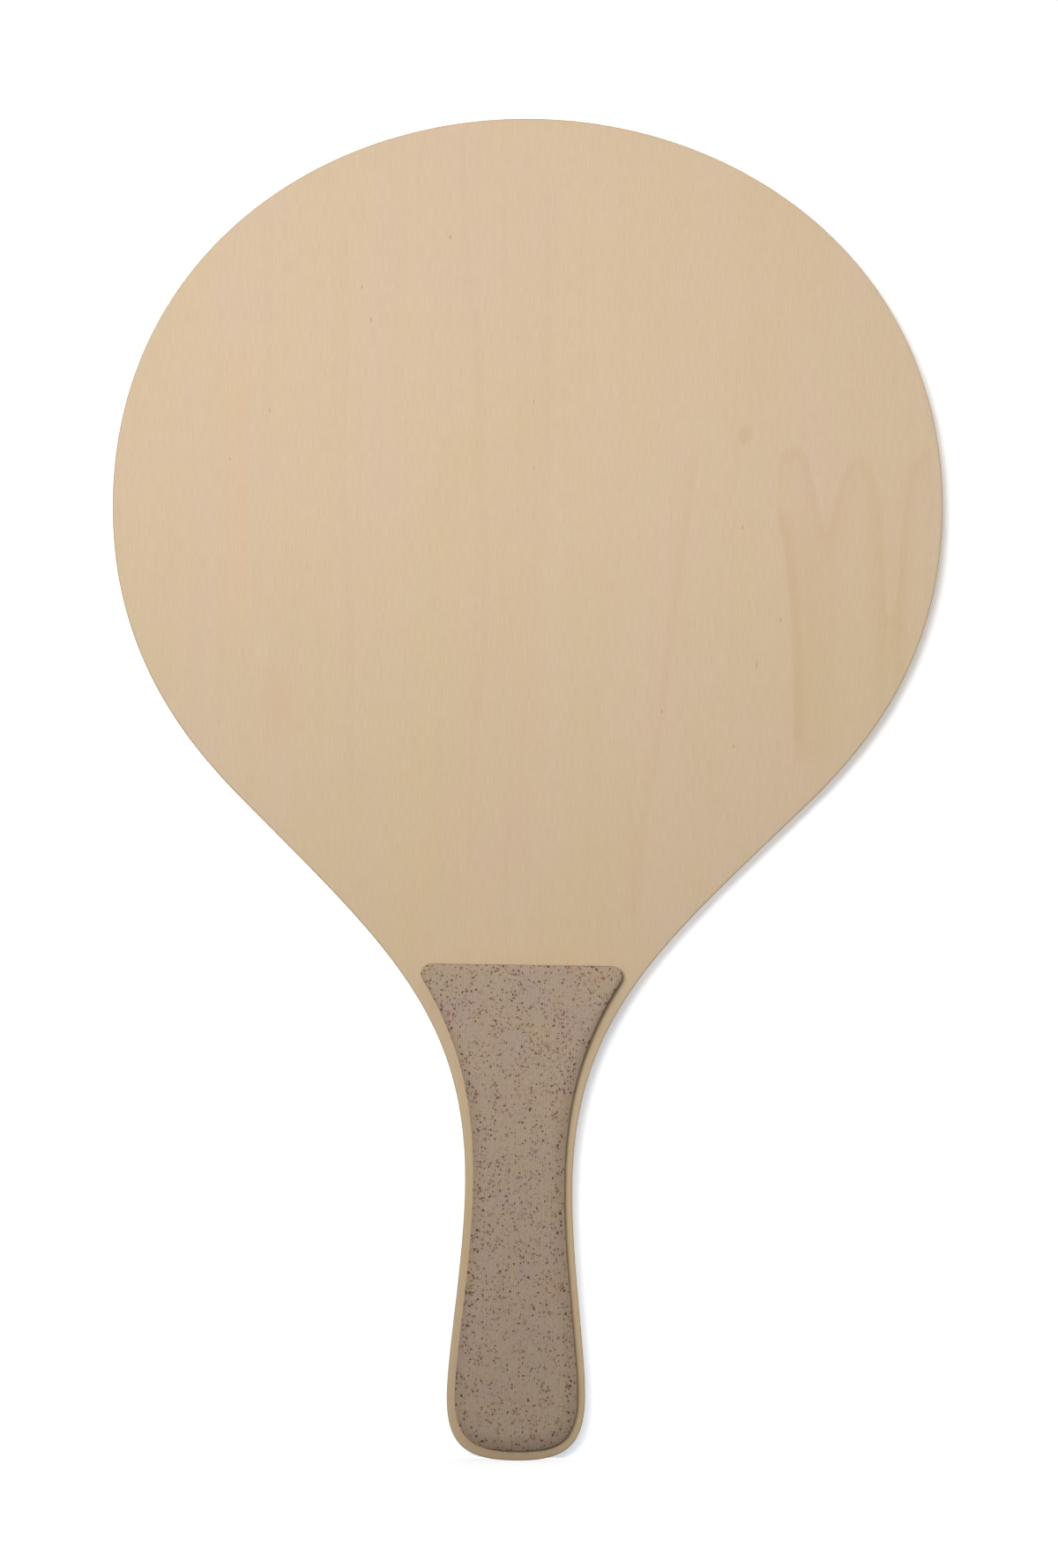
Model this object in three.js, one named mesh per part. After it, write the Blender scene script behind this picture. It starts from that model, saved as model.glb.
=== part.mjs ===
// A frescobol racket: a five-ply plywood bat with a moulded grip scale bonded to each side of its handle.
//
// Millimetres. +Z runs from the butt end up to the crown, +X across the face, and the front face looks
// along -Y. The origin is the middle of the butt end, half way through the plywood.
import * as THREE from "three";

// The plywood's outline, by full width and by height above the butt end
const RACKET_LENGTH = 380;
const BLADE_WIDTH = 235;
const BLADE_WIDEST_HEIGHT = 270;
const SHOULDER_WIDTH = 154;
const SHOULDER_HEIGHT = 183.6;
const WAIST_WIDTH = 30.4;
const WAIST_HEIGHT = 77.8;
const BUTT_WIDTH = 39.2;
const BUTT_WIDEST_HEIGHT = 18.2;

// How far the edge leans out from upright where it runs straight across the shoulder
const SHOULDER_LEAN_DEGREES = 45.6;

// How long each stretch of the outline keeps its heading at its lower and at its upper end, as shares of
// the height that it climbs, or of its half width where it sets out across the butt end or arrives at
// the crown.
const BUTT_HOLD_SHARES = [0.735, 0.76];
const HANDLE_HOLD_SHARES = [0.213, 0.352];
const NECK_HOLD_SHARES = [0.44, 0.53];
const SHOULDER_HOLD_SHARES = [0.234, 0.539];
const CROWN_HOLD_SHARES = [0.629, 0.516];

// The plywood's layers, from a face to the core, and the sanding of its edges
const FACE_PLY_THICKNESS = 1.0;
const CROSS_PLY_THICKNESS = 1.3;
const CORE_PLY_THICKNESS = 1.4;
const SANDED_EDGE_RADIUS = 0.5;
const FACE_PLY_LEAST_LAND = 0.1;

// The grip scales: their outline stands in from the plywood's edge by a rim that widens towards the head
const GRIP_TOP_HEIGHT = 140.4;
const GRIP_THICKNESS = 6;
const GRIP_HEAD_CORNER_RADIUS = 2.8;
const BUTT_RIM = 3;
const SIDE_RIM = 2.3;
const HEAD_RIM = 4.4;

// How late the rim widens on its way from the waist to the head: 1 is evenly, 2 is late
const RIM_WIDENING_POWER = 1.5;

// The scales' softened edge: an arc that leaves the face smoothly and meets the side at a slant. It reaches
// in a little along the head, and further along the handle and round the butt.
const HEAD_EDGE_REACH = 1.4;
const SIDE_EDGE_REACH = 5;
const EDGE_WIDENING_HEIGHT = 50;
const GRIP_EDGE_SLANT_DEGREES = 46;
const GRIP_LEAST_WALL = 1;

// The adhesive between each scale and the plywood stops a little short of the scale's edge
const ADHESIVE_THICKNESS = 0.2;
const ADHESIVE_SETBACK = 0.6;

// How finely the curves are cut, as counts
const BUTT_STEPS = 14;
const HANDLE_STEPS = 10;
const NECK_STEPS = 24;
const SHOULDER_STEPS = 16;
const CROWN_STEPS = 32;
const CORNER_STEPS = 6;
const SANDED_EDGE_STEPS = 3;
const GRIP_EDGE_STEPS = 6;

const gripEdgeSlant = THREE.MathUtils.degToRad(GRIP_EDGE_SLANT_DEGREES);
const fullRound = Math.PI / 2;

// Rises smoothly from 0 to 1 while its argument does.
function eased(share) {
  const clamped = THREE.MathUtils.clamp(share, 0, 1);
  return clamped * clamped * (3 - 2 * clamped);
}

// A station is a point of the outline with the way the edge is heading there, on its climb to the crown.
function station(width, height, headingX, headingZ) {
  return { at: new THREE.Vector2(width / 2, height), heading: new THREE.Vector2(headingX, headingZ) };
}

// One flowing stretch between two stations, which keeps each station's heading over the given length.
function stretch(lower, lowerHold, upper, upperHold) {
  return new THREE.CubicBezierCurve(
    lower.at,
    lower.at.clone().addScaledVector(lower.heading, lowerHold),
    upper.at.clone().addScaledVector(upper.heading, -upperHold),
    upper.at,
  );
}

// The five stretches of the outline's right half, from the butt end to the crown.
function outlineStretches() {
  const lean = THREE.MathUtils.degToRad(SHOULDER_LEAN_DEGREES);
  const buttEnd = station(0, 0, 1, 0);
  const butt = station(BUTT_WIDTH, BUTT_WIDEST_HEIGHT, 0, 1);
  const waist = station(WAIST_WIDTH, WAIST_HEIGHT, 0, 1);
  const shoulder = station(SHOULDER_WIDTH, SHOULDER_HEIGHT, Math.sin(lean), Math.cos(lean));
  const widest = station(BLADE_WIDTH, BLADE_WIDEST_HEIGHT, 0, 1);
  const crown = station(0, RACKET_LENGTH, -1, 0);
  const climbing = (lower, upper, shares, steps) => {
    const climb = upper.at.y - lower.at.y;
    return { curve: stretch(lower, shares[0] * climb, upper, shares[1] * climb), steps };
  };
  const acrossButt = BUTT_HOLD_SHARES[0] * butt.at.x;
  const upButt = BUTT_HOLD_SHARES[1] * butt.at.y;
  const upCrown = CROWN_HOLD_SHARES[0] * (crown.at.y - widest.at.y);
  const acrossCrown = CROWN_HOLD_SHARES[1] * widest.at.x;
  return [
    { curve: stretch(buttEnd, acrossButt, butt, upButt), steps: BUTT_STEPS },
    climbing(butt, waist, HANDLE_HOLD_SHARES, HANDLE_STEPS),
    climbing(waist, shoulder, NECK_HOLD_SHARES, NECK_STEPS),
    climbing(shoulder, widest, SHOULDER_HOLD_SHARES, SHOULDER_STEPS),
    { curve: stretch(widest, upCrown, crown, acrossCrown), steps: CROWN_STEPS },
  ];
}

// An edge point is a point of an outline with the outward normal there.
function edgePointOn(curve, share) {
  const heading = curve.getTangent(share);
  return { at: curve.getPoint(share), out: new THREE.Vector2(heading.y, -heading.x) };
}

// The right half of the plywood's outline as edge points, from the butt end to the crown.
function plywoodHalf() {
  const half = [];
  outlineStretches().forEach(({ curve, steps }, index) => {
    for (let step = index === 0 ? 0 : 1; step <= steps; step++) {
      half.push(edgePointOn(curve, step / steps));
    }
  });
  half[0].at.x = 0;
  half[half.length - 1].at.x = 0;
  return half;
}

// An edge point moved inwards, square to the edge.
function inset(point, distance) {
  return { at: point.at.clone().addScaledVector(point.out, -distance), out: point.out };
}

// The whole outline from its right half, anticlockwise as seen from the front.
function mirrored(half) {
  const onAxis = (point) => point.at.x === 0;
  const left = half
    .filter((point) => !onAxis(point))
    .map(({ at, out }) => ({ at: new THREE.Vector2(-at.x, at.y), out: new THREE.Vector2(-out.x, out.y) }));
  return [...half, ...left.reverse()];
}

// How wide the bare rim of plywood is beside the scale, at a height on the plywood's edge.
function rimAt(height) {
  const nearButt = 1 - eased(height / BUTT_WIDEST_HEIGHT);
  const climbed = THREE.MathUtils.clamp((height - WAIST_HEIGHT) / (GRIP_TOP_HEIGHT - WAIST_HEIGHT), 0, 1);
  const nearHead = climbed ** RIM_WIDENING_POWER;
  return SIDE_RIM + (BUTT_RIM - SIDE_RIM) * nearButt + (HEAD_RIM - SIDE_RIM) * nearHead;
}

// How far in the scale's softened edge reaches at a height: it widens from the head down the handle, and
// never sinks so deep that the side's wall is lost.
function edgeReachAt(height) {
  const below = eased((GRIP_TOP_HEIGHT - height) / EDGE_WIDENING_HEIGHT);
  const wanted = HEAD_EDGE_REACH + (SIDE_EDGE_REACH - HEAD_EDGE_REACH) * below;
  const deepest = GRIP_THICKNESS - GRIP_LEAST_WALL;
  return Math.min(wanted, deepest / Math.tan(gripEdgeSlant / 2));
}

// The centre of the head's corner, where the rounded corner leaves the side and meets the straight top.
function headCorner(side) {
  const centres = side.map((point) => inset(point, rimAt(point.at.y) + GRIP_HEAD_CORNER_RADIUS));
  const centreHeight = GRIP_TOP_HEIGHT - GRIP_HEAD_CORNER_RADIUS;
  const above = centres.findIndex((centre) => centre.at.y > centreHeight);
  const [lower, upper] = [centres[above - 1], centres[above]];
  const share = (centreHeight - lower.at.y) / (upper.at.y - lower.at.y);
  return {
    at: lower.at.clone().lerp(upper.at, share),
    out: lower.out.clone().lerp(upper.out, share).normalize(),
  };
}

// The right half of a scale's outline: round the butt, up the handle, round the head's corner.
function gripHalf() {
  const plywood = plywoodHalf();
  const corner = headCorner(plywood);
  const leaves = corner.at.y + corner.out.y * GRIP_HEAD_CORNER_RADIUS;
  const side = plywood.map((point) => inset(point, rimAt(point.at.y))).filter((point) => point.at.y < leaves);
  const from = Math.atan2(corner.out.y, corner.out.x);
  const to = Math.PI / 2;
  for (let step = 0; step <= CORNER_STEPS; step++) {
    const angle = from + (to - from) * (step / CORNER_STEPS);
    const out = new THREE.Vector2(Math.cos(angle), Math.sin(angle));
    side.push({ at: corner.at.clone().addScaledVector(out, GRIP_HEAD_CORNER_RADIUS), out });
  }
  return side;
}

// A ring of an outline at a depth, each point moved inwards by its own distance.
function ring(outline, depth, insetOf) {
  return outline.map((point) => {
    const { at } = inset(point, insetOf(point));
    return new THREE.Vector3(at.x, depth, at.y);
  });
}

// One closed body lofted through rings that run from its back to its front, with a flat face on each end.
function lofted(rings) {
  const count = rings[0].length;
  const faceOf = (points) => {
    const flat = points.map((point) => new THREE.Vector2(point.x, point.z));
    return THREE.ShapeUtils.triangulateShape(flat, []);
  };
  const indices = faceOf(rings[0]).flatMap(([a, b, c]) => [a, c, b]);
  for (let level = 1; level < rings.length; level++) {
    const behind = (level - 1) * count;
    const front = level * count;
    for (let point = 0; point < count; point++) {
      const next = (point + 1) % count;
      indices.push(behind + point, behind + next, front + next);
      indices.push(behind + point, front + next, front + point);
    }
  }
  const last = (rings.length - 1) * count;
  indices.push(...faceOf(rings[rings.length - 1]).flat().map((index) => last + index));
  const geometry = new THREE.BufferGeometry().setFromPoints(rings.flat());
  geometry.setIndex(indices);
  const faceted = geometry.toNonIndexed();
  faceted.computeVertexNormals();
  return faceted;
}

// A flat plate of an outline between two depths.
function plate(outline, back, front, setback = 0) {
  return lofted([back, front].map((depth) => ring(outline, depth, () => setback)));
}

// A plate whose front edge is softened by an arc. The arc leaves the face smoothly, reaches in by a distance
// that may change round the outline, and meets the side at a slant: a right angle rounds the edge fully.
function softenedPlate(outline, back, front, reachOf, slant, steps) {
  const rings = [ring(outline, back, () => 0)];
  for (let step = 0; step <= steps; step++) {
    const tilt = (1 - step / steps) * slant;
    const drawnIn = 1 - Math.sin(tilt) / Math.sin(slant);
    const sunk = (1 - Math.cos(tilt)) / Math.sin(slant);
    const level = ring(outline, front, (point) => reachOf(point) * drawnIn);
    level.forEach((vertex, index) => (vertex.y += reachOf(outline[index]) * sunk));
    rings.push(level);
  }
  return lofted(rings);
}

// The finishes, by the colours of the pale plywood and the speckled grip
const faceVeneer = new THREE.MeshStandardMaterial({ color: 0xd6bc9c, roughness: 0.62, metalness: 0 });
const crossVeneer = new THREE.MeshStandardMaterial({ color: 0xbd9f78, roughness: 0.78, metalness: 0 });
const coreVeneer = new THREE.MeshStandardMaterial({ color: 0xcdb18a, roughness: 0.72, metalness: 0 });
const mouldedGrip = new THREE.MeshStandardMaterial({ color: 0x9d8b77, roughness: 0.7, metalness: 0 });
const clearAdhesive = new THREE.MeshStandardMaterial({ color: 0xb8ab94, roughness: 0.4, metalness: 0 });

function named(name, geometry, material) {
  const mesh = new THREE.Mesh(geometry, material);
  mesh.name = name;
  return mesh;
}

// The depths at which the layers meet, counted from the middle of the core towards the front.
const coreFace = CORE_PLY_THICKNESS / 2;
const crossFace = coreFace + CROSS_PLY_THICKNESS;
const bladeFace = crossFace + FACE_PLY_THICKNESS;
const scaleSeat = bladeFace + ADHESIVE_THICKNESS;
const scaleFace = scaleSeat + GRIP_THICKNESS;

// One side of the racket, outwards from the core: cross ply, sanded face ply, adhesive and grip scale.
function sideOfRacket(sideName) {
  const plywood = mirrored(plywoodHalf());
  const grip = mirrored(gripHalf());
  const sanding = Math.min(SANDED_EDGE_RADIUS, FACE_PLY_THICKNESS - FACE_PLY_LEAST_LAND);
  const crossPly = plate(plywood, -coreFace, -crossFace);
  const facePly = softenedPlate(plywood, -crossFace, -bladeFace, () => sanding, fullRound, SANDED_EDGE_STEPS);
  const adhesive = plate(grip, -bladeFace, -scaleSeat, ADHESIVE_SETBACK);
  const reachOf = (point) => edgeReachAt(point.at.y);
  const scale = softenedPlate(grip, -scaleSeat, -scaleFace, reachOf, gripEdgeSlant, GRIP_EDGE_STEPS);
  const side = new THREE.Group();
  side.add(named(`${sideName}_cross_ply`, crossPly, crossVeneer));
  side.add(named(`${sideName}_face_ply`, facePly, faceVeneer));
  side.add(named(`${sideName}_grip_adhesive`, adhesive, clearAdhesive));
  side.add(named(`${sideName}_grip_scale`, scale, mouldedGrip));
  return side;
}

// The racket: the core ply with a front side and the same side again, turned to face the back.
function racket() {
  const whole = new THREE.Group();
  const core = plate(mirrored(plywoodHalf()), coreFace, -coreFace);
  whole.add(named("core_ply", core, coreVeneer));
  whole.add(sideOfRacket("front"));
  const back = sideOfRacket("back");
  back.rotation.z = Math.PI;
  whole.add(back);
  return whole;
}

export default racket();
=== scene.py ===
"""A frescobol racket: five-ply plywood with a moulded grip scale bonded to each side of its handle.

Metres. +Z runs from the butt end up to the crown, +X across the face, and the front face looks along -Y.
"""

import logging
import math
from collections.abc import Callable, Sequence
from dataclasses import dataclass
from enum import Enum
from functools import partial

import bmesh
import bpy
from mathutils import Matrix, Vector, noise


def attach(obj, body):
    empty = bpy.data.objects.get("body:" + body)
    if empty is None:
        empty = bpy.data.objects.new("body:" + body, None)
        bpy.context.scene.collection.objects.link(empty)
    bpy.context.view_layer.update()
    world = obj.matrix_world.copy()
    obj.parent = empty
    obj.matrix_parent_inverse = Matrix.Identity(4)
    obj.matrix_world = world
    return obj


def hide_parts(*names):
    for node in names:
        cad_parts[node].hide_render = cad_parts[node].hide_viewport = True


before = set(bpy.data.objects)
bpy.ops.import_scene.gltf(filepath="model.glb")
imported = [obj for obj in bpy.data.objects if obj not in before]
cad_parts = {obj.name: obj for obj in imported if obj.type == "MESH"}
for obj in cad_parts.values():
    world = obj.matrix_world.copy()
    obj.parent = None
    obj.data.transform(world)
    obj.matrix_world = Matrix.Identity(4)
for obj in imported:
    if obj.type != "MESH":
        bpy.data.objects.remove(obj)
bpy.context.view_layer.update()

MM = 0.001
PER_METRE = 1000.0
# Places closer than this count as one
TOUCHING = 0.001 * MM
LOG = logging.getLogger("racket")

Colour = tuple[float, float, float, float]
Stops = Sequence[tuple[float, Colour]]
# What feeds an input of a node: a socket, or a node in place of the first output that it has in use
Source = bpy.types.NodeSocket | bpy.types.Node
# Adds a node to one tree, as add_node does
Adder = Callable[..., bpy.types.Node]


def linear(srgb: int) -> Colour:
    """Turns a colour written as sRGB hex into linear light.

    Args:
        srgb: The colour as 0xRRGGBB.

    Returns:
        Its red, green, blue and alpha in linear light.
    """
    shares = [(srgb >> shift & 0xFF) / 255 for shift in (16, 8, 0)]
    red, green, blue = (s / 12.92 if s <= 0.04045 else ((s + 0.055) / 1.055) ** 2.4 for s in shares)
    return red, green, blue, 1.0


def eased(share: float) -> float:
    """Rises smoothly from 0 to 1 while its argument does.

    Args:
        share: How far along, held between 0 and 1.

    Returns:
        The eased share.
    """
    held = min(max(share, 0.0), 1.0)
    return held * held * (3 - 2 * held)


# Outlines and the bodies lofted from them


@dataclass(frozen=True)
class EdgePoint:
    """A point of an outline, across and up, with the outward normal there."""

    at: Vector
    out: Vector

    def inset(self, distance: float) -> "EdgePoint":
        """Gives the point moved inwards, square to the edge."""
        return EdgePoint(self.at - self.out * distance, self.out)

    def mirrored(self) -> "EdgePoint":
        """Gives the point's twin on the left half."""
        return EdgePoint(Vector((-self.at.x, self.at.y)), Vector((-self.out.x, self.out.y)))


Outline = list[EdgePoint]


def whole_outline(half: Outline) -> Outline:
    """Makes a whole outline from its right half.

    Args:
        half: The right half, from the butt end up.

    Returns:
        The outline, anticlockwise as seen from the front.
    """
    left = [point.mirrored() for point in half if point.at.x > TOUCHING]
    return [*half, *reversed(left)]


@dataclass(frozen=True)
class RacketOutline:
    """The plywood's outline: five flowing stretches on each side, from the butt end to the crown.

    Widths are full widths and heights are above the butt end. Each pair of holds says how far a stretch
    keeps its heading at its lower and at its upper end, as shares of its climb, or of its half width
    where it sets out across the butt end or arrives at the crown.
    """

    length: float = 380.0 * MM
    blade_width: float = 235.0 * MM
    blade_widest_height: float = 270.0 * MM
    shoulder_width: float = 154.0 * MM
    shoulder_height: float = 183.6 * MM
    shoulder_lean: float = math.radians(45.6)
    waist_width: float = 30.4 * MM
    waist_height: float = 77.8 * MM
    butt_width: float = 39.2 * MM
    butt_widest_height: float = 18.2 * MM
    butt_holds: tuple[float, float] = (0.735, 0.76)
    handle_holds: tuple[float, float] = (0.213, 0.352)
    neck_holds: tuple[float, float] = (0.44, 0.53)
    shoulder_holds: tuple[float, float] = (0.234, 0.539)
    crown_holds: tuple[float, float] = (0.629, 0.516)
    steps: tuple[int, ...] = (40, 30, 60, 40, 90)

    def stretches(self) -> list[tuple[Vector, Vector, Vector, Vector]]:
        """Works out the stretches of the right half.

        Returns:
            The four control points of each stretch, from the butt end up.
        """
        right, up = Vector((1, 0)), Vector((0, 1))
        leaning = Vector((math.sin(self.shoulder_lean), math.cos(self.shoulder_lean)))
        butt_end, crown = Vector((0, 0)), Vector((0, self.length))
        butt = Vector((self.butt_width / 2, self.butt_widest_height))
        waist = Vector((self.waist_width / 2, self.waist_height))
        shoulder = Vector((self.shoulder_width / 2, self.shoulder_height))
        widest = Vector((self.blade_width / 2, self.blade_widest_height))
        stations = [
            (butt_end, right, butt, up, self.butt_holds, (butt.x, butt.y)),
            (butt, up, waist, up, self.handle_holds, (waist.y - butt.y,) * 2),
            (waist, up, shoulder, leaning, self.neck_holds, (shoulder.y - waist.y,) * 2),
            (shoulder, leaning, widest, up, self.shoulder_holds, (widest.y - shoulder.y,) * 2),
            (widest, up, crown, -right, self.crown_holds, (crown.y - widest.y, widest.x)),
        ]
        return [
            (lower, lower + leaves * holds[0] * sizes[0], upper - arrives * holds[1] * sizes[1], upper)
            for lower, leaves, upper, arrives, holds, sizes in stations
        ]

    def right_half(self) -> Outline:
        """Draws the right half of the outline.

        Returns:
            Its points, from the butt end to the crown.
        """
        half: Outline = []
        for index, ((start, leaving, arriving, end), steps) in enumerate(zip(self.stretches(), self.steps)):
            for step in range(0 if index == 0 else 1, steps + 1):
                t = step / steps
                s = 1 - t
                at = s**3 * start + 3 * s * s * t * leaving + 3 * s * t * t * arriving + t**3 * end
                heading = s * s * (leaving - start) + 2 * s * t * (arriving - leaving)
                heading = (heading + t * t * (end - arriving)).normalized()
                half.append(EdgePoint(at, Vector((heading.y, -heading.x))))
        half[0].at.x = half[-1].at.x = 0.0
        return half


def ring(outline: Outline, depth: float, inset_of: Callable[[EdgePoint], float]) -> list[Vector]:
    """Lays an outline at a depth, each point moved inwards by its own distance.

    Args:
        outline: The outline.
        depth: The ring's place along Y, which is negative towards the front.
        inset_of: How far each edge point moves inwards.

    Returns:
        The ring's points.
    """
    moved = [point.inset(inset_of(point)).at for point in outline]
    return [Vector((at.x, depth, at.y)) for at in moved]


def lofted(rings: Sequence[Sequence[Vector]]) -> bmesh.types.BMesh:
    """Lofts one closed body through rings that run from its back to its front.

    Args:
        rings: The rings, alike in their number of points.

    Returns:
        The body, smooth round its edge and flat on its two faces.
    """
    body = bmesh.new()
    levels = [[body.verts.new(point) for point in points] for points in rings]
    count = len(levels[0])
    for behind, before in zip(levels, levels[1:]):
        for index in range(count):
            following = (index + 1) % count
            strip = body.faces.new((behind[index], behind[following], before[following], before[index]))
            strip.smooth = True
    body.faces.new(list(reversed(levels[0])))
    body.faces.new(levels[-1])
    return body


@dataclass(frozen=True)
class SoftenedEdge:
    """An edge softened by an arc, which leaves the face smoothly and meets the side at a slant.

    Attributes:
        reach_of: How far in the arc reaches at each edge point.
        slant: How far the arc turns on its way to the side: a right angle rounds the edge fully.
        steps: How many steps the arc is cut in.
        flat_margin: How far in from the arc one more ring lies, which keeps the face flat up to the arc.
    """

    reach_of: Callable[[EdgePoint], float]
    slant: float = math.pi / 2
    steps: int = 8
    flat_margin: float = 0.3 * MM

    def rings(self, outline: Outline, back: float, front: float) -> list[list[Vector]]:
        """Gives the rings of a plate whose front edge is softened.

        Args:
            outline: The plate's outline.
            back: The depth of its back face.
            front: The depth of its front face.

        Returns:
            The rings from the back to the front.
        """
        rings = [ring(outline, back, lambda point: 0.0)]
        for step in range(self.steps + 1):
            tilt = (1 - step / self.steps) * self.slant
            drawn_in = 1 - math.sin(tilt) / math.sin(self.slant)
            sunk = (1 - math.cos(tilt)) / math.sin(self.slant)
            level = ring(outline, front, lambda point: self.reach_of(point) * drawn_in)
            for vertex, point in zip(level, outline):
                vertex.y += self.reach_of(point) * sunk
            rings.append(level)
        rings.append(ring(outline, front, lambda point: self.reach_of(point) + self.flat_margin))
        return rings


class Side(Enum):
    """A side of the racket, by the angle that its pieces are turned from the front."""

    FRONT = 0.0
    BACK = math.pi


def linked_object(name: str, data: bpy.types.ID) -> bpy.types.Object:
    """Makes an object from its data and links it into the scene.

    Args:
        name: The object's name.
        data: Its mesh, lamp or camera.

    Returns:
        The object.
    """
    made = bpy.data.objects.new(name, data)
    bpy.context.scene.collection.objects.link(made)
    return made


def place_piece(
    name: str, body: bmesh.types.BMesh, side: Side, material: bpy.types.Material, node: str
) -> bpy.types.Object:
    """Makes a racket piece from a body built for the front, and puts it in the place of its CAD node.

    Args:
        name: The piece's name.
        body: Its body, which is used up.
        side: The side that it belongs to.
        material: Its finish.
        node: The CAD node that it stands for.

    Returns:
        The piece.
    """
    body.transform(Matrix.Rotation(side.value, 4, "Z"))
    mesh = bpy.data.meshes.new(name)
    body.to_mesh(mesh)
    body.free()
    mesh.materials.append(material)
    piece = linked_object(name, mesh)
    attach(piece, "root")
    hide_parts(node)
    LOG.info("%s: %d faces, stands for %s", name, len(mesh.polygons), node)
    return piece


# Finishes


def add_node(
    tree: bpy.types.NodeTree,
    kind: str,
    inputs: dict[str | int, object] | None = None,
    stops: Stops = (),
    points: Sequence[tuple[float, float]] = (),
    **settings: object,
) -> bpy.types.Node:
    """Adds a node with its settings and links.

    Args:
        tree: The tree that it goes into.
        kind: The node's type, without the ShaderNode that each one starts with.
        inputs: For each input, either what feeds it or its constant value.
        stops: The places and colours of its colour ramp, if it has one, in rising order.
        points: The points of its curve, if it has one, in rising order.
        settings: Values of its own properties.

    Returns:
        The node.
    """
    node = tree.nodes.new(f"ShaderNode{kind}")
    for name, value in settings.items():
        setattr(node, name, value)
    for key, given in (inputs or {}).items():
        if isinstance(given, bpy.types.Node):
            given = next(output for output in given.outputs if output.enabled)
        if isinstance(given, bpy.types.NodeSocket):
            tree.links.new(given, node.inputs[key])
        else:
            node.inputs[key].default_value = given
    for index, (place, colour) in enumerate(stops):
        ramp = node.color_ramp.elements
        stop = ramp[index] if index < 2 else ramp.new(place)
        stop.position, stop.color = place, colour
    for index, location in enumerate(points):
        curve = node.mapping.curves[0].points
        point = curve[index] if index < 2 else curve.new(*location)
        point.location, point.handle_type = location, "AUTO_CLAMPED"
    return node


def place_in_mm(add: Adder) -> Source:
    """Gives the place on the racket in millimetres."""
    place = add("TexCoord").outputs["Object"]
    return add("VectorMath", {0: place, "Scale": PER_METRE}, operation="SCALE")


def seen_directly(add: Adder) -> Source:
    """Tells the rays that see a surface from the ones that bring it light.

    Args:
        add: What adds a node to the tree.

    Returns:
        1 for a ray from the camera, in gloss or through glass, and 0 for one that brings light.
    """
    rays = add("LightPath").outputs
    seen = rays["Is Camera Ray"]
    for kind in ("Is Glossy Ray", "Is Transmission Ray"):
        seen = add("Math", {0: seen, 1: rays[kind]}, operation="MAXIMUM")
    return seen


class Finish:
    """What a piece is made of and how it was finished. Each kind of finish draws its own surface."""

    name: str

    def surface(self, add: Adder) -> Source:
        """Draws the surface with nodes, and gives its shader."""
        raise NotImplementedError

    def material(self) -> bpy.types.Material:
        """Makes the finish's material.

        Returns:
            The material.
        """
        material = bpy.data.materials.new(self.name)
        material.use_nodes = True
        tree = material.node_tree
        tree.nodes.clear()
        add = partial(add_node, tree)
        add("OutputMaterial", {"Surface": self.surface(add)})
        return material


class GrainAxis(Enum):
    """The way a veneer's fibres run, as the direction along them."""

    LENGTHWISE = (0.0, 0.0, 1.0)
    CROSSWISE = (1.0, 0.0, 0.0)


@dataclass(frozen=True)
class GrainPattern:
    """A pattern drawn out along the grain: its width and length in millimetres and how broken up it is."""

    width_mm: float
    length_mm: float
    detail: float
    roughness: float = 0.5

    def drawn(self, add: Adder, grain: Source) -> Source:
        """Draws the pattern.

        Args:
            add: What adds a node to the tree.
            grain: The place in millimetres, as across, through and along the grain.

        Returns:
            The pattern's value, about 0.5 on average.
        """
        shares = (1 / self.width_mm, 1 / self.width_mm, 1 / self.length_mm)
        stretched = add("VectorMath", {0: grain, 1: shares}, operation="MULTIPLY")
        return add("TexNoise", {
            "Vector": stretched, "Scale": 1.0, "Detail": self.detail, "Roughness": self.roughness,
        })


class Inside(Enum):
    """The side of a growth line on which the wood stays darker, as the sign of the offset there."""

    LEFT_OR_BELOW = -1.0
    RIGHT_OR_ABOVE = 1.0


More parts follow.
